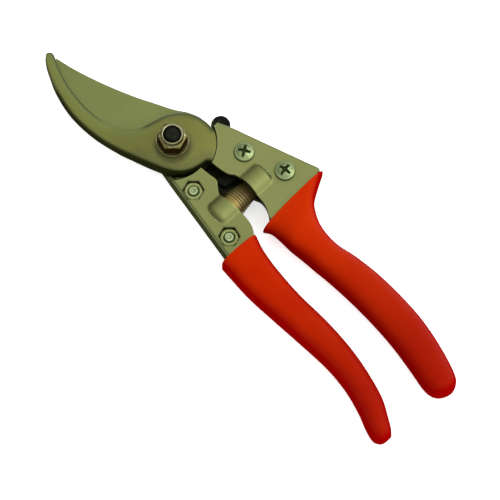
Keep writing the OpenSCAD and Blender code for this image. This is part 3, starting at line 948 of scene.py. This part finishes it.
def pan_head(s, centre, z, up, turn):
    """Pan head whose underside is at z; up is +1 or -1."""
    n, inner = 120, 60
    shape = [(HEAD_R - 0.1, 0), (HEAD_R, 0.12), (HEAD_R, 0.5)]
    for k in range(1, 9):
        f = pi / 2 * k / 8
        shape.append((HEAD_R - 0.9 * (1 - cos(f)), 0.5 + (HEAD_H - HEAD_DOME - 0.5) * sin(f)))
    shape += [(r, HEAD_H - HEAD_DOME * (r / (HEAD_R - 0.9)) ** 2)
              for r in [HEAD_FLAT * (1 - k / inner) for k in range(inner)] + [0.01]]
    rings = [round_ring(centre, 0.01, z, n)]
    for r, h in shape:
        ring = []
        for x, y, base in round_ring((0, 0), r, z, n):
            deep = cross_recess(x, y, turn) if r < HEAD_FLAT else 0
            ring.append((centre[0] + x, centre[1] + y, base + up * (h - deep)))
        rings.append(ring)
    s.rings(rings)


def shank(s, centre, z0, z1):
    """Threaded shank: fine rings for the thread and a chamfered end at z1."""
    r, depth, step = 2, 0.18, copysign(0.35, z1 - z0)
    profile = [(0, z0), (r, z0)]
    z = z0 + step
    while abs(z - z0) < abs(z1 - z0) - 0.6:
        profile += [(r - depth, z), (r, z + step / 2)]
        z += step
    profile += [(r - 0.05, z1 - step * 1.3), (r - 0.4, z1), (0.9, z1), (0.5, z1 - step * 0.9), (0, z1 - step)]
    s.turned(profile, centre, n=40)


def hex_nut(s, centre, z0, h, af, bore, turn=0, chamfer=(0.9, 0.5), low_chamfer=True):
    """Hexagon nut; its corners drop by chamfer[1] a millimetre past chamfer[0] of its half width."""
    def ring(f, z, cut):
        """Hexagon f times the nut's size, its corners lowered where cut is 1 and raised where it is -1."""
        out = []
        for u, v, level in round_ring((0, 0), 1, z):
            r = af / 2 / hex_distance(u, v, turn) * f
            drop = max(0, r - af / 2 * chamfer[0]) * chamfer[1] * cut
            out.append((centre[0] + r * u, centre[1] + r * v, level - drop))
        return out

    low_cut, top = -1 if low_chamfer else 0, z0 + h
    rings = [round_ring(centre, bore, z0), ring(0.8, z0, 0), ring(0.9, z0, low_cut), ring(0.985, z0, low_cut),
             ring(1, z0 + 0.05, low_cut), ring(1, z0 + h / 2, 0), ring(1, top - 0.05, 1)]
    rings += [ring(f, top, 1) for f in (0.985, 0.93, 0.87, 0.8)]
    rings += [round_ring(centre, bore + r, z)
              for r, z in ((0.5, top), (0.4, top - 0.06), (0, top - 0.4), (0, z0))]
    s.rings(rings, cap=(False, False))


# ---- pivot
PIVOT_R, PIVOT_AF = 3, 10.5


def build_pivot():
    """Bolt with a low hexagon head, washers, lock nut with its rolled collar and nylon ring."""
    s = Shell()
    z0, z1 = low("pivot_bolt").z, high("pivot_bolt").z
    hex_nut(s, (0, 0), z0, 3, PIVOT_AF, PIVOT_R - 0.05, turn=0.35)
    s.turned([(0, z0 + 0.35), (PIVOT_R - 0.03, z0 + 0.35), (PIVOT_R, z0 + 1), (PIVOT_R, z1 - 0.75),
              (PIVOT_R - 0.12, z1 - 0.42), (PIVOT_R - 0.5, z1 - 0.1), (PIVOT_R - 0.8, z1), (0, z1)], n=80)
    place(s.make("pivot_shoulder_bolt", BLACK_BOLT, smooth=28), "hook_side", "pivot_bolt")

    s = Shell()
    nz, top = low("pivot_nut").z, high("pivot_nut").z
    hex_nut(s, (0, 0), nz, 5.6, PIVOT_AF, 4.3, turn=HEX_TURN, low_chamfer=False)
    s.tube([(3.05, nz + 0.3), (5.2, nz + 0.3), (5.2, nz + 5.2), (4.8, nz + 5.6), (4.5, nz + 5.95),
            (4.36, nz + 6.4), (4.3, top - 0.5), (4.2, top - 0.2), (4.02, top - 0.03), (3.85, top),
            (3.66, top - 0.08), (3.58, top - 0.3), (3.62, top - 0.55), (4, top - 0.7), (4, nz + 5.4),
            (3.05, nz + 5.4), (3.05, nz + 0.3)])
    place(s.make("pivot_lock_nut", PIVOT, smooth=30), "hook_side", "pivot_nut")

    s = Shell()
    rz0 = low("pivot_nut_ring").z
    s.tube([(3.03, rz0), (3.95, rz0), (3.95, top - 0.75), (3.6, top - 0.65), (3.3, top - 0.55),
            (3.03, top - 0.7), (3.03, rz0)])
    place(s.make("pivot_nut_nylon_ring", NYLON), "hook_side", "pivot_nut_ring")

    for name, node, r in (("pivot_washer_front", "pivot_front_washer", 6.7),
                          ("pivot_washer_back", "pivot_back_washer", 7.6)):
        s = Shell()
        a, b = low(node).z, high(node).z
        s.tube([(3.1, a), (r - 0.15, a), (r, a + 0.12), (r, b - 0.2), (r - 0.2, b), (3.25, b), (3.1, b - 0.1),
                (3.1, a)])
        place(s.make(name, WASHER), "hook_side", node)


# ---- screws and nuts of the handles
UPPER_SCREWS_AT = [(15.5, -23.7), (20.2, -40.8)]
NUT_AF, NUT_BORE = 7, 2.02


def build_fasteners():
    for name, node, body, centres, turns, top, up, end in (
            ("upper_pan_screws", "upper_screws", "hook_side", UPPER_SCREWS_AT, (28, 5), SHEET_TOP, 1,
             low("upper_screws").z),
            ("lower_pan_screws", "lower_screws", "blade_side", NUTS_AT, (15, 52), SHEET_LOW, -1,
             high("lower_screws").z)):
        heads = list(zip(centres, [radians(turn) for turn in turns]))
        s = Shell()
        for c, turn in heads:
            pan_head(s, c, top + 0.02 * up, up, turn)
            shank(s, c, top + 0.1 * up, end)
        place(s.make(name, ZINC, smooth=32, tint=cross_tint(heads, top, up)), body, node)
    s = Shell()
    for c, turn in zip(NUTS_AT, (0, -0.02)):
        hex_nut(s, c, low("lower_nuts").z, 3.2, NUT_AF, NUT_BORE, turn=HEX_TURN + turn, chamfer=(0.95, 0.5))
    place(s.make("lower_hex_nuts", NUT, smooth=28), "blade_side", "lower_nuts")
    s = Shell()
    for c, turn in zip(UPPER_SCREWS_AT, (0.2, 0.7)):
        hex_nut(s, c, low("upper_nuts").z, 2.1, NUT_AF, NUT_BORE, turn=turn)
    place(s.make("upper_hex_nuts", ZINC, smooth=28), "hook_side", "upper_nuts")


# ---- lock
TAB_AT, TAB_R, TAB_TOP = (19.2, -8.15), 3.8, 8.8


def build_lock():
    """Lever with its nose and arm, and the ribbed thumb tab on the arm's end."""
    z0, z1 = low("lock_lever").z, high("lock_lever").z
    s = Shell()
    nose = soft([[0.9, -21.6, 0.8], [3.1, -21.4, 0.6], [3.9, -22.8, 0.8], [12, -22.6, 0.5], [17.2, -22.2, 1],
                 [17, -26.4, 1.5], [11, -27.2, 1], [5, -27.2, 2], [1, -26, 1.5]])
    arm = soft([[12.2, -21, 0.6], [16.9, -9.8, 1], [18.6, -6.6, 0.6], [21, -8, 0.8], [18.5, -19.6, 1],
                [18.2, -24.5, 1.2], [13.2, -25, 1]])
    s.slab(nose, z0, z1, 0.3, 0.3)
    s.slab(arm, z0 + 0.01, z1 - 0.01, 0.3, 0.3)
    boss_r, a, b = 4.6, z0 + 0.02, z1 - 0.02
    s.turned([(0, a), (boss_r - 0.3, a), (boss_r, z0 + 0.3), (boss_r, z1 - 0.3), (boss_r - 0.3, b), (0, b)],
             UPPER_SCREWS_AT[0])
    place(s.make("lock_lever_crank", LEVER, smooth=40), "lock", "lock_lever")
    s = Shell()
    z0, z1, r = low("lock_thumb_tab").z, TAB_TOP, TAB_R
    profile = [(0, z0), (r - 0.9, z0), (r - 0.25, z0 + 0.3), (r, z0 + 0.8)]
    for k in range(4):
        z = z0 + 1.0 + k * 0.75
        profile += [(r, z), (r - 0.14, z + 0.2), (r - 0.14, z + 0.45), (r, z + 0.65)]
    profile += [(r, z1 - 0.9), (r - 0.1, z1 - 0.5), (r - 0.4, z1 - 0.2), (r - 0.9, z1 - 0.03), (r - 1.5, z1),
                (r - 2.1, z1 - 0.12), (0, z1 - 0.3)]
    s.turned(profile, TAB_AT, n=96)

    def hub_side_reflection(x, y, z):
        """Painted reflection: olive down the side next to the hub."""
        side = ((TAB_AT[0] - x) * 0.66 + (y - TAB_AT[1]) * 0.75) / TAB_R
        return 0.9 * ramp(side, 0.55, 0.95) * ramp(z1 - z, -0.2, 0.4)

    place(s.make("lock_thumb_pad", TAB, smooth=50, tint=hub_side_reflection), "lock", "lock_thumb_tab")


# ---- volute spring: one strip, each turn a little smaller and a step further along
COIL_R, COIL_SHRINK, COIL_TURNS = 5.58, 0.24, 11
STRIP_W, STRIP_T = 9.2, 0.2


def coil_start(w):
    """Where the strip's first edge lies along the spring's axis after w turns."""
    return -13.5 + w + 0.04 * w * w


def build_spring():
    s = Shell()
    axis = Vector((cos(SPRING_TURN), sin(SPRING_TURN)))
    side = Vector((-axis.y, axis.x))
    section = [(0, -0.06), (0.1, 0), (STRIP_W / 2, 0)]
    section += [(STRIP_W - d, 0) for d in (1.2, 0.8, 0.6, 0.4, 0.12)]
    section += [(STRIP_W, -0.08), (STRIP_W, -STRIP_T + 0.02), (STRIP_W - 0.1, -STRIP_T), (0.1, -STRIP_T),
                (0, -STRIP_T + 0.02)]
    rings = []
    seg = 56
    for i in range(seg * COIL_TURNS + 1):
        w = i / seg
        t = 2 * pi * w
        ring = []
        for dx, dr in section:
            r = COIL_R - COIL_SHRINK * w + dr
            p = SPRING_AT + axis * (coil_start(w) + dx) + side * (r * cos(t))
            ring.append((p.x, p.y, MID_Z + r * sin(t)))
        rings.append(ring)
    s.rings(rings)

    def tint(x, y, z):
        """Painted shade in the step beside each turn's rim and deeper in the spring, under the upper sheet.
        """
        along, across = on_spring(x, y)
        w = (COIL_R - hypot(across, z - MID_Z)) / COIL_SHRINK
        into = along - coil_start(w)
        step = (1 - ramp(into, STRIP_W - 0.75, STRIP_W - 0.45)) * ramp(w, 0.6, 0.9)
        return max(0.8 * step, 0.92 * ramp(along, -4.5, 2.5))

    obj = s.make("volute_spring_strip", STRIP, smooth=40, tint=tint)
    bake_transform(obj)
    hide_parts("volute_spring")


build_hook()
build_blade()
build_upper_handle()
build_lower_handle()
build_grips()
build_pivot()
build_fasteners()
build_lock()
build_spring()
for kept in ("tang_spacer", "lock_sleeve", "lock_washer"):
    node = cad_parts[kept]
    node.data.materials.clear()
    node.data.materials.append(ZINC)
    soften_rims(node, 0.1, 40)


# ---- floor, light and camera
VIEW_AZ, VIEW_EL = -48.4, 70.0
LENS, SENSOR, DISTANCE = 500.0, 36.0, 2.702


def build_stage():
    half, z = 3000, -0.2
    m = Finish("floor_white")
    m.set("Base Color", (0.75, 0.75, 0.75, 1))
    m.set("Roughness", 0.9)
    m.set("Emission Color", (1, 1, 1, 1))
    m.set("Emission Strength", 0.55)
    corners = [(-half, -half, z), (half, -half, z), (half, half, z), (-half, half, z)]
    new_object("floor", corners, [(0, 1, 2, 3)], m.mat)
    bpy.context.scene.view_settings.view_transform = "Standard"


def build_world():
    """Soft box overhead: brightest above and to the right, dim near the horizon and behind."""
    world = bpy.data.worlds.new("studio")
    bpy.context.scene.world = world
    world.use_nodes = True
    w = Nodes(world.node_tree)
    dot = w.node("ShaderNodeVectorMath", operation="DOT_PRODUCT")
    w.put(dot.inputs[0], w.node("ShaderNodeTexCoord").outputs["Generated"])
    w.put(dot.inputs[1], (0.33, -0.37, 0.87))
    glow = w.tree.nodes["Background"]
    w.put(glow.inputs[0], (1, 1, 1, 1))
    w.put(glow.inputs[1], w.span(dot.outputs["Value"], -0.3, 0.8, 0.15, 2.0))


def face(obj, aim, azimuth, elevation, distance):
    """Stands a lamp or camera off from the aim point and turns it to face that point."""
    a, e = radians(azimuth), radians(elevation)
    back = Vector((sin(a) * cos(e), -cos(a) * cos(e), sin(e)))
    obj.location = aim + back * distance
    obj.rotation_euler = (-back).to_track_quat("-Z", "Y").to_euler()
    bpy.context.scene.collection.objects.link(obj)


def build_lamp():
    light = bpy.data.lights.new("key", "AREA")
    light.energy, light.size = 5, 0.9
    face(bpy.data.objects.new("key", light), Vector((-0.005, -0.045, 0.007)), 45, 50, 1.2)


def build_camera():
    cam = bpy.data.cameras.new("camera")
    cam.lens, cam.sensor_width = LENS, SENSOR
    camera = bpy.data.objects.new("camera", cam)
    face(camera, Vector((-0.0119, -0.0511, 0.007)), VIEW_AZ, VIEW_EL, DISTANCE)
    bpy.context.scene.camera = camera


build_stage()
build_world()
build_lamp()
build_camera()

bpy.context.view_layer.update()
